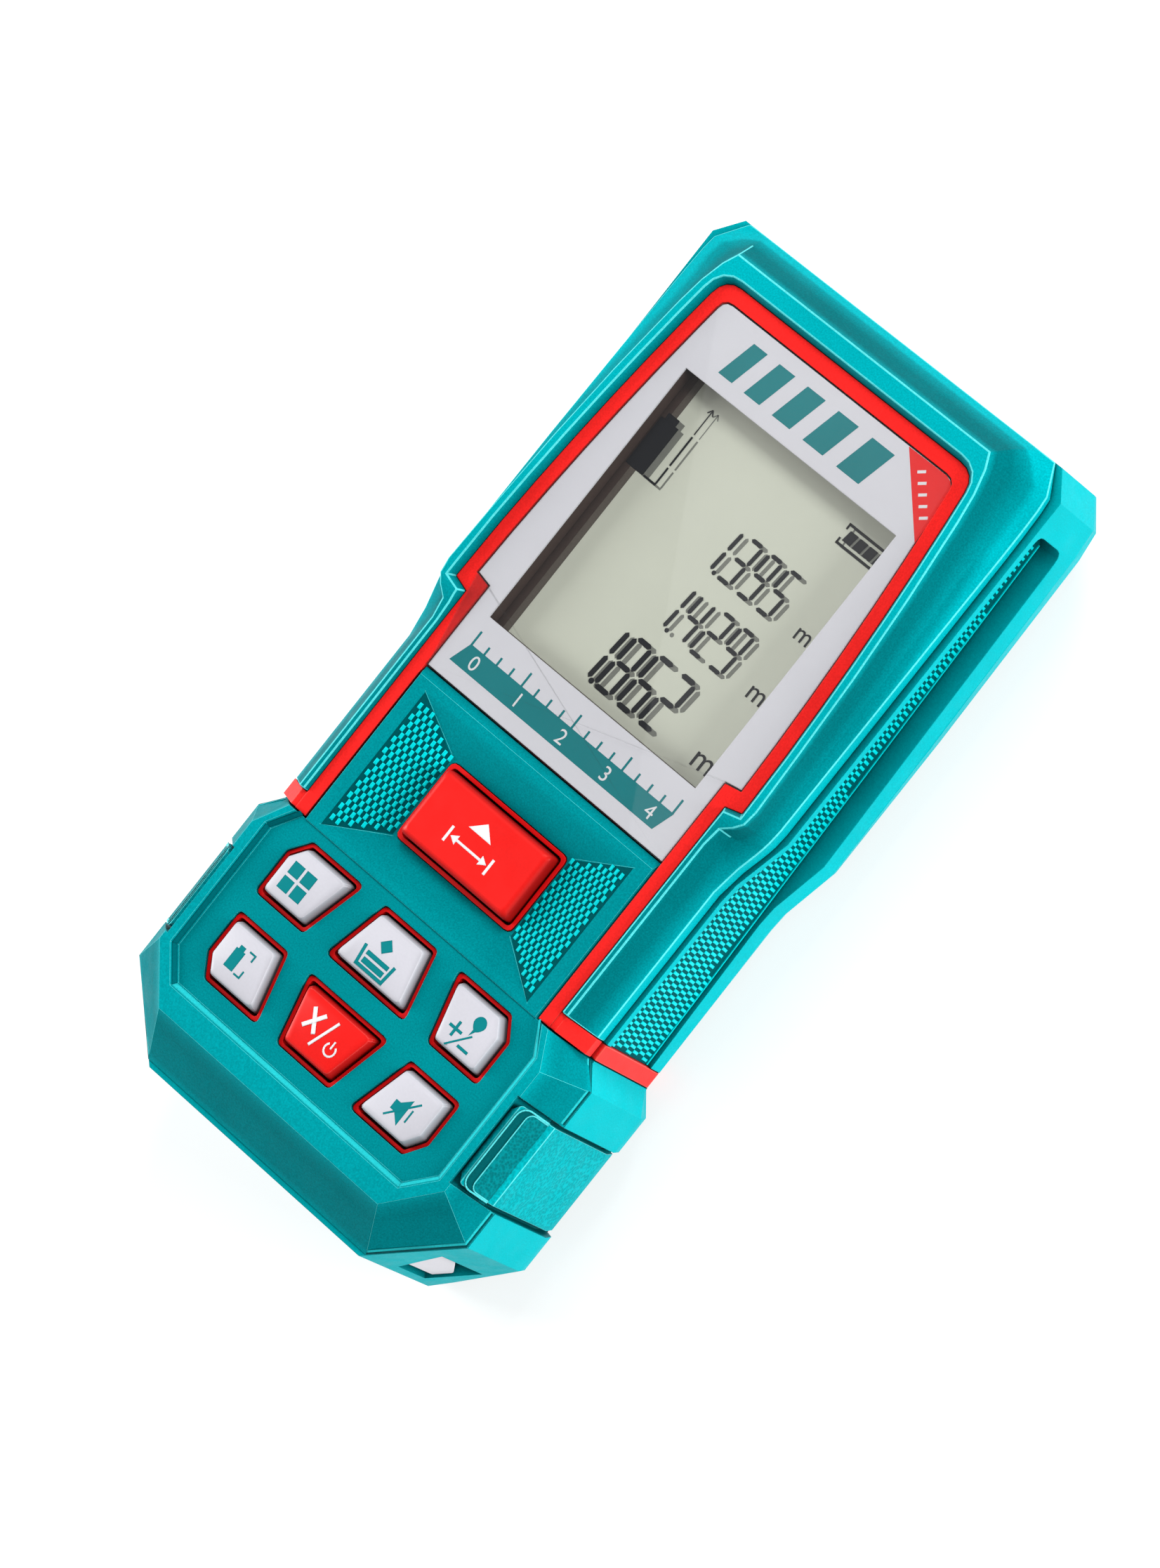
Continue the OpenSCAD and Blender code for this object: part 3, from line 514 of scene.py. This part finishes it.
def strips(foot, crest, t0, t1, z0, z1, under, over, side=1):
    """Rings of slabs on the slopes between two outlines, from the fraction t0 of the way up to t1. They
    reach under millimetres into the moulding and stand over millimetres out of it."""
    rings = []
    for i in range(len(foot) - 1):
        corners = []
        for j, t in ((i, t0), (i + 1, t0), (i + 1, t1), (i, t1)):
            x, y = (a + (b - a) * t for a, b in zip(foot[j], crest[j]))
            corners.append((side * x, y, z0 + (z1 - z0) * t))
        rings.append([[P(x, y, z + lift) for x, y, z in corners] for lift in (-under, over)])
    return rings


def arch(u, v0, v1, r, n=5):
    """Path from the fold up, round two corners and back, at the height u of a slope."""
    turn = [math.pi / 2 * i / n for i in range(n + 1)]
    path = [(0.15, v0)]
    path += [(u - r + r * math.sin(t), v0 + r - r * math.cos(t)) for t in turn]
    path += [(u - r + r * math.cos(t), v1 - r + r * math.sin(t)) for t in turn]
    return path + [(0.15, v1)]


# Grip pads: the field on the slope darker and the groove round it near black, both painted shade, and the
# lips of both light, painted highlights
GRIP_FOLD = (26.2, -3.6)                # half width and height of the pad's fold
GRIP_RUN, GRIP_RISE = 2.45, 3.7         # the slope above the fold
GRIP_LOW, GRIP_HIGH = -19.0, -8.3       # the pad's ends in y
GROOVE_UP, FIELD_UP = 4.15, 2.95        # how far up the slope the groove and the field reach
GROOVE_TURN, FIELD_TURN = 1.3, 0.9      # radii of their corners
ALONG_Y = Vector((0, 1, 0))
for side, tag in ((-1, "left"), (1, "right")):
    up_slope = Vector((-side * GRIP_RUN, 0, GRIP_RISE)).normalized()
    outward = Vector((side * GRIP_RISE, 0, GRIP_RUN)).normalized()
    axes = (side * GRIP_FOLD[0], 0, GRIP_FOLD[1]), up_slope, ALONG_Y, outward
    groove = arch(GROOVE_UP, GRIP_LOW - 0.05, GRIP_HIGH + 0.05, GROOVE_TURN)
    border = arch(GROOVE_UP + 0.05, GRIP_LOW - 0.1, GRIP_HIGH + 0.1, GROOVE_TURN)
    field = arch(FIELD_UP, GRIP_LOW + 0.1, GRIP_HIGH - 0.1, FIELD_TURN)
    sheet("grip_groove_shade_" + tag, [groove], *axes, 0.004, 0.02, "groove", "teal_grip")
    sheet("grip_field_shade_" + tag, [field], *axes, 0.026, 0.05, "grip_dark", "teal_grip")
    lips = [stroke(a, b, w) for path, w in ((field, 0.16), (border, 0.2)) for a, b in zip(path, path[1:])]
    sheet("grip_lip_highlight_" + tag, lips, *axes, 0.03, 0.08, "teal_edge", "teal_grip")

# Chamfer between the keypad floor and its rim: painted shade towards the left, painted highlight towards the
# right and the heel
RIM = 0.7                               # height of the rim over the keypad floor
RIM_FROM, RIM_TO = 0.16, 0.80           # the part of the way up that the chamfer covers
FLOOR = [(18.95, -0.1), (21.24, -3.5), (21.24, -19.9), (18.3, -23.1),
         (-18.3, -23.1), (-21.24, -19.9), (-21.24, -3.5), (-18.95, -0.1)]
CREST = [(19.55, 0.3), (22.04, -3.25), (22.04, -20.2), (18.65, -23.9),
         (-18.65, -23.9), (-22.04, -20.2), (-22.04, -3.25), (-19.55, 0.3)]
for tag, part, mat in (("right", slice(0, 5), "highlight_strip"), ("left", slice(4, 8), "shade_strip")):
    rings = strips(FLOOR[part], CREST[part], RIM_FROM, RIM_TO, 0, RIM, 0.02, 0.018)
    slabs("rim_chamfer_" + tag, rings, mat)

# Parting line of the keypad block beside the grip pads: a dark seam just above the fold, painted shade, and a
# light lip over it, a painted highlight
HALF, RIM_HALF, FOLD_Z = 27.0, 23.3, -4.95      # half width at the fold and at the rim, height of the fold


def side_slope(*ys):
    """Foot and crest points of the side slope at each y of the working frame."""
    return [((HALF, y), (RIM_HALF, -20.7 + (y + 24.4) * 16.5 / 21.6)) for y in ys]


# From the heel corner to the grip pad, and from the grip pad to the waist
RUNS = ([((18, -32.4), (17.95, -26.6))] + side_slope(-24.4, -19.85),
        side_slope(-7.4, -2.8) + [((24.6, -0.12), (20.9, -0.12))])
SEAM_FROM, SEAM_TO, LIP_TO = 0.012, 0.05, 0.10  # fractions of the way up the slope
for side, tag in ((-1, "left"), (1, "right")):
    for kind, mat, t0, t1 in (("lip", "highlight_strip", SEAM_TO, LIP_TO), ("seam", "groove", SEAM_FROM, SEAM_TO)):
        rings = []
        for run in RUNS:
            foot, crest = zip(*run)
            rings += strips(foot, crest, t0, t1, FOLD_Z, RIM, 0.03, 0.02, side)
        slabs("parting_%s_%s" % (kind, tag), rings, mat)

# Knurling on the two side facets of the dish round the measuring key: lighter studs, a painted highlight,
# over a dark plate, painted shade between them
DISH_FOOT, DISH_TOP = (9.4, -1.2), (16.9, 0.17)      # half width and height at a side facet's foot and top
DISH_PITCH, DISH_ROW = 0.86, 0.78                    # from stud to stud up the facet, from row to row in y
DISH_STUD = (0.225, 0.385, 0.15)                     # half sides and height
DISH_MARGIN = 0.35                                   # clear of the facet's ends
RUN, RISE = DISH_TOP[0] - DISH_FOOT[0], DISH_TOP[1] - DISH_FOOT[1]
REACH = math.hypot(RUN, RISE)
for side, tag in ((-1, "left"), (1, "right")):
    slope = Vector((side * RUN, 0, RISE)).normalized()
    normal = Vector((-side * RISE, 0, RUN)).normalized()

    def facet(d, y):
        """The point of the side facet d millimetres up from its foot."""
        return (side * (DISH_FOOT[0] + RUN * d / REACH), y, DISH_FOOT[1] + RISE * d / REACH)
    corners = [facet(d, y) for d, y in ((0.15, 4.75), (7.35, 0.55), (7.35, 19.1), (0.15, 15.35))]
    bed("dish_shade_" + tag, corners, normal)
    pts = []
    for j in range(23):
        y = 1.2 + DISH_ROW * j
        for i in range(8):
            d = 0.35 + DISH_PITCH * (i + 0.5 * (j % 2))
            low, high = 4.65 - 4.25 * d / REACH, 15.45 + 3.85 * d / REACH
            if low + DISH_MARGIN < y < high - DISH_MARGIN:
                pts.append(row(facet(d, y)))
    studs("dish_knurl_" + tag, pts, slope, ALONG_Y, normal, *DISH_STUD, "teal_shell")

# Knurling on the floors of the side grip channels: lighter studs and a light strip along the lower edge,
# painted highlights, over a dark plate, painted shade between the studs
CHANNEL_X, CHANNEL_TOP = 24.3, -6.5     # half width between the floors, height of their upper edge
CHANNEL_ENDS = (2.3, 73.6)
CHANNEL_STUD = (0.20, 0.72, 0.12)       # half sides and height
PITCH, STEP = 0.764, (-0.096, -1.49)    # from stud to stud along y, and from row to row in y and z


def channel_foot(y):
    """Height of the channel's lower edge, which rises towards the head."""
    return -17.5 + (y - 2.2) * 4.35 / 72.2


start, end = CHANNEL_ENDS
lean = Vector((0, -STEP[0], -STEP[1])).normalized()
for side, tag in ((-1, "left"), (1, "right")):
    out = Vector((side, 0, 0))
    corners = [(side * CHANNEL_X, y, z) for y, z in (
        (start, channel_foot(start)), (end, channel_foot(end)), (end, CHANNEL_TOP), (start, CHANNEL_TOP))]
    bed("channel_shade_" + tag, corners, out)
    pts = []
    for j in range(8):
        z = CHANNEL_TOP - 0.75 + STEP[1] * j
        for i in range(95):
            y = 2.5 + PITCH * (i + 0.5 * (j % 2)) + STEP[0] * j
            if start + 0.15 < y < end - 0.2 and z > channel_foot(y) + 0.55:
                pts.append(row((side * CHANNEL_X, y, z)))
    # A light strip along the channel's lower edge: a painted highlight
    lip = [(y, channel_foot(y) - CHANNEL_TOP + h)
           for y, h in ((start, 0.06), (end, 0.06), (end, 0.30), (start, 0.30))]
    sheet("channel_foot_highlight_" + tag, [lip], (side * CHANNEL_X, 0, CHANNEL_TOP), ALONG_Y, Vector((0, 0, 1)), out,
          0.02, 0.14, "knurl", "teal_shell")
    studs("channel_knurl_" + tag, pts, ALONG_Y, lean, out, *CHANNEL_STUD, "teal_shell")

# ---------------------------------------------------------------- prints on the display panel
PANEL_Z, PANEL_INK = MASK_TOP + 0.004, 0.004


def panel_print(name, polygons, mat, lift=0.0):
    plates(name, polygons, PANEL_Z + lift, PANEL_INK, mat)


RULER_X, TICK, TICKS = -15.9, 2, 17     # the first tick, from tick to tick, and how many there are
TICK_FOOT, TICK_TOP, LONG_TOP = 26.38, 27.4, 28.2
panel_print("ruler_band", [[(-17, 23.6), (15.3, 23.6), (16.3, 26.4), (-16, 26.4)]], "print_teal")
panel_print("ruler_ticks", [
    box2(RULER_X + TICK * i - 0.14, TICK_FOOT, RULER_X + TICK * i + 0.14, TICK_TOP if i % 4 else LONG_TOP)
    for i in range(TICKS)], "print_teal")
for i in range(5):
    lettered("ruler_number_%d" % i, str(i), 2.5, -14.2 + 7.0 * i, 24.1, PANEL_Z + 0.009, "print_white")
BAR_FOOT, BAR_TOP, BAR_LEAN = 66.6, 71.5, 1.3
BARS = []
for x, w in ((-12.9, 2.132), (-8.9, 2.46), (-4.5, 2.788), (0.3, 3.116), (5.5, 3.444)):
    BARS.append([(x, BAR_FOOT), (x + w, BAR_FOOT), (x + w + BAR_LEAN, BAR_TOP), (x + BAR_LEAN, BAR_TOP)])
panel_print("panel_mark", BARS, "print_teal")
panel_print("corner_flash", [[(10.9, 73.2), (18.65, 65.4), (18.35, 70.5), (18.0, 72.4), (17.4, 73.0),
                              (16.6, 73.25)]], "print_red")
panel_print("corner_flash_mark", [
    stroke((13.6 + 0.9 * i, 71.6 - 0.95 * i), (14.4 + 0.9 * i, 72.4 - 0.95 * i - 0.2), 0.34)
    for i in range(5)], "print_white", 0.006)

# ---------------------------------------------------------------- what the display shows
SHIFT = 0.46 * -LCD_TOP          # x measured at the level of the face lies this much further left down here
SEGMENT_Z = LCD_TOP + 0.03
SHADOW_OFF = (0.85, -0.05)       # from a segment to its shadow
LINES = (                        # text, left end, foot, digit width and height, stroke, step between digits
    ("1395", -0.6, 49.2, 1.9, 5.5, 0.5, 3.02),
    ("1429", -0.75, 41.1, 1.9, 5.5, 0.5, 3.02),
    ("1862", -4.55, 31.6, 2.3, 6.9, 0.64, 3.45))
shapes = []
for text, x, y, w, h, t, step in LINES:
    for i, ch in enumerate(text):
        shapes += digit(ch, x - SHIFT + step * i, y, w, h, t)
    shapes.append(disc(x - SHIFT + w + 0.62, y + 0.05, t * 0.55))
icon = [box2(-15.1, 52.6, -12.4, 59.0), box2(-14.6, 59.0, -12.9, 59.8), box2(-12.3, 52.55, -10.4, 52.8),
        box2(-10.6, 52.8, -10.36, 55.0), box2(-10.6, 55.3, -10.36, 59.3),
        stroke((-10.5, 63.0), (-10.9, 62.4), 0.16), stroke((-10.5, 63.0), (-10.1, 62.4), 0.16),
        box2(-10.56, 59.6, -10.42, 63.0)]
battery = [box2(11.1, 62.5, 17.4, 62.8), box2(11.1, 60.1, 17.4, 60.4), box2(11.1, 60.1, 11.35, 60.9),
           box2(11.1, 62.0, 11.35, 62.8), box2(17.2, 60.1, 17.45, 62.8)]
for i in range(4):
    x = 11.6 + 1.5 * i
    battery.append([(x, 60.75), (x + 1.2, 60.75), (x + 1.4, 62.15), (x + 0.2, 62.15)])
shapes += [[(x - SHIFT, y) for x, y in s] for s in icon + battery]
plates("lcd_segments", shapes, SEGMENT_Z, 0.01, "segment")
plates("lcd_segment_shadows", [[(x + SHADOW_OFF[0], y + SHADOW_OFF[1]) for x, y in s] for s in shapes],
       LCD_TOP + 0.012, 0.003, "shadow")
for i, (y, size) in enumerate(((49.2, 3.0), (41.0, 3.3), (31.5, 3.9))):
    lettered("lcd_unit_%d" % i, "m", size, 15.2 - SHIFT, y, SEGMENT_Z, "segment")
# Painted shadow of the holder's left wall on the display glass: a dark strip next to the wall and a lighter
# half-shadow beyond it
BORDER_Z, BORDER_X = LCD_TOP + 0.005, -15.36 - SHIFT + 1.08
plates("lcd_wall_shadow_dark", [box2(-17.6, 29.4, BORDER_X + 0.01, 66.4)], BORDER_Z, 0.004, "brown")
plates("lcd_wall_shadow_soft", [box2(BORDER_X, 29.4, -14.5, 66.4)], BORDER_Z, 0.004, "brown_soft_shadow")

# ---------------------------------------------------------------- signs on the keys
top_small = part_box("area_key")[1].z / MM - FACE_Z
top_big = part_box("measure_key")[1].z / MM - FACE_Z
top_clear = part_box("clear_key")[1].z / MM - FACE_Z


KEY_SINK, KEY_INK, KEY_STEP = 0.004, 0.012, 0.002


def sign(name, polygons, top, key, mat="print_teal"):
    """Print on a key's top, sunk into it a little; each plate ends above the one before it."""
    plates(name, polygons, top - KEY_SINK, KEY_INK, mat, key, KEY_STEP)


sign("area_sign", [
    box2(x - 0.8, y - 0.8, x + 0.8, y + 0.8) for x in (-14.98, -13.02) for y in (-6.98, -5.02)],
    top_small, "area_key")
sign("level_sign", [
    stroke((-2.6, -6.0), (-2.25, -8.3), 0.42), stroke((2.0, -6.0), (1.75, -8.3), 0.42),
    stroke((-2.45, -8.3), (1.95, -8.3), 0.44), box2(-1.85, -7.9, 1.35, -7.2), box2(-1.95, -6.9, 1.45, -6.35),
    [(-0.4, -3.9), (-1.35, -4.85), (-0.4, -5.8), (0.55, -4.85)]], top_small, "level_key")
drop = [(14.3 + 0.85 * math.sin(t) * (1 - 0.35 * max(0, -math.cos(t))), -4.6 + 0.95 * math.cos(t))
        for t in [2 * math.pi * i / 18 for i in range(18)]]
sign("sum_sign", [
    drop, [(14.05, -5.3), (14.55, -5.3), (14.0, -6.3)], box2(11.35, -6.78, 13.25, -6.42),
    box2(12.12, -7.55, 12.48, -5.65), stroke((12.3, -8.7), (14.5, -6.1), 0.22),
    box2(13.7, -8.05, 15.3, -7.7)], top_small, "sum_key")
sign("reference_sign", [
    box2(-14.9, -18.2, -13.5, -15.7), box2(-14.6, -15.7, -13.8, -15.2), box2(-13.2, -18.3, -12.2, -18.08),
    box2(-12.42, -18.1, -12.2, -17.3), box2(-13.2, -15.3, -12.2, -15.08),
    box2(-12.42, -16.0, -12.2, -15.1)], top_small, "reference_key")
sign("sound_sign", [
    [(12.0, -16.6), (12.7, -16.6), (13.9, -15.5), (13.9, -18.9), (12.7, -17.8), (12.0, -17.8)],
    stroke((11.8, -18.8), (14.9, -15.3), 0.24), stroke((14.5, -16.4), (14.5, -18.0), 0.22)],
    top_small, "sound_key")
sign("clear_sign", arc(1.9, -17.5, 0.75, 130, 410, 0.24) + [
    box2(1.79, -17.4, 2.01, -16.4), stroke((-0.6, -18.6), (0.9, -14.6), 0.34),
    stroke((-2.7, -17.4), (-0.9, -14.9), 0.5), stroke((-2.7, -14.9), (-0.9, -17.4), 0.5)],
    top_clear, "clear_key", "print_white")
sign("measure_sign", [
    [(0, 12.6), (-1.75, 11.0), (1.75, 11.0)], box2(-3.4, 8.0, -3.05, 10.0), box2(3.05, 8.0, 3.4, 10.0),
    box2(-1.9, 8.85, 1.9, 9.15), [(-2.85, 9.0), (-1.85, 8.4), (-1.85, 9.6)],
    [(2.85, 9.0), (1.85, 9.6), (1.85, 8.4)]], top_big, "measure_key", "print_white")


# ---------------------------------------------------------------- floor, light and camera

def area_light(name, at, aim, size, lux):
    """Square light that gives the irradiance lux at its aim."""
    at, aim = Vector(at), Vector(aim)
    d = bpy.data.lights.new(name, "AREA")
    d.shape = "RECTANGLE"
    d.size = d.size_y = size
    d.energy = 4 * lux * (at - aim).length_squared
    o = bpy.data.objects.new(name, d)
    o.location = at
    o.rotation_euler = (aim - at).to_track_quat("-Z", "Y").to_euler()
    bpy.context.scene.collection.objects.link(o)


FLOOR_REACH, FLOOR_Z = 3, -0.00005     # in metres
FLOOR_GREY, FLOOR_GLOW, WORLD_GLOW = 0.36, 0.74, 0.3
floor_mesh = bpy.data.meshes.new("floor")
corners = [(x * FLOOR_REACH, y * FLOOR_REACH, FLOOR_Z) for x, y in ((-1, -1), (1, -1), (1, 1), (-1, 1))]
floor_mesh.from_pydata(corners, [], [(0, 1, 2, 3)])
floor = bpy.data.objects.new("floor", floor_mesh)
bpy.context.scene.collection.objects.link(floor)
# The photograph's ground is plain white: a pale floor that glows enough to keep only the contact shadow
fm, _, _, fb = new_material("pale_floor")
fb.inputs["Base Color"].default_value = (FLOOR_GREY, FLOOR_GREY, FLOOR_GREY, 1)
fb.inputs["Emission Color"].default_value = (1, 1, 1, 1)
fb.inputs["Emission Strength"].default_value = FLOOR_GLOW
fb.inputs["Roughness"].default_value = 0.9
fb.inputs["Specular IOR Level"].default_value = 0.1
floor_mesh.materials.append(fm)

world = bpy.data.worlds.new("studio")
bpy.context.scene.world = world
world.use_nodes = True
world.node_tree.nodes["Background"].inputs["Color"].default_value = (1, 1, 1, 1)
world.node_tree.nodes["Background"].inputs["Strength"].default_value = WORLD_GLOW

# Name, place, aim, side, irradiance
area_light("key", (0.92, 0.30, 0.30), (0, 0, 0.012), 0.34, 2.1)
area_light("left", (-0.76, -0.28, 0.32), (0, 0, 0.012), 0.30, 2.2)
area_light("top", (-0.10, 0.75, 0.70), (0, 0, 0.02), 0.35, 1.55)

# Soft box that the display lens mirrors: its edge crosses the lens from the upper left to the lower right
GLEAM_WIDTH, GLEAM_LENGTH, GLEAM_RADIANCE = 0.16, 0.30, 0.36
gleam = bpy.data.lights.new("gleam", "AREA")
gleam.shape = "RECTANGLE"
gleam.size, gleam.size_y = GLEAM_WIDTH, GLEAM_LENGTH
gleam.energy = 4 * GLEAM_RADIANCE * GLEAM_WIDTH * GLEAM_LENGTH
edge_a, edge_b = P(-388.7, 75.0, 700), P(-329.9, -25.7, 700)     # two points of its edge
along = (edge_b - edge_a).normalized()
facing = P(0, 45, 0) - (edge_a + edge_b) / 2
middle = (edge_a + edge_b) / 2 + along.cross(facing).normalized() * GLEAM_WIDTH / 2
z_axis = -facing.normalized()
gleam_lamp = bpy.data.objects.new("gleam", gleam)
gleam_lamp.matrix_world = (Matrix.Translation(middle)
                           @ Matrix((along.cross(z_axis), along, z_axis)).transposed().to_4x4())
bpy.context.scene.collection.objects.link(gleam_lamp)

# The camera looks down from the meter's right side, turned so that the head points up and to the right
AIM, DISTANCE = P(5.214, 22.342, 0), 799.04 * MM
AZIMUTH, ELEVATION, ROLL = math.radians(7.6393), math.radians(63.3904), math.radians(-58.3934)
SENSOR, FOCAL = 36.0, 228.178
toward = Vector((math.cos(ELEVATION) * math.cos(AZIMUTH), math.cos(ELEVATION) * math.sin(AZIMUTH),
                 math.sin(ELEVATION)))
camera = bpy.data.cameras.new("camera")
camera.sensor_fit = "HORIZONTAL"
camera.sensor_width = SENSOR
camera.lens = FOCAL
camera.clip_start, camera.clip_end = 0.05, 20
cam = bpy.data.objects.new("camera", camera)
turn = toward.to_track_quat("Z", "Y").to_matrix() @ Matrix.Rotation(ROLL, 3, "Z")
cam.matrix_world = Matrix.Translation(AIM + toward * DISTANCE) @ turn.to_4x4()
bpy.context.scene.collection.objects.link(cam)
bpy.context.scene.camera = cam
bpy.context.scene.view_settings.view_transform = "Standard"
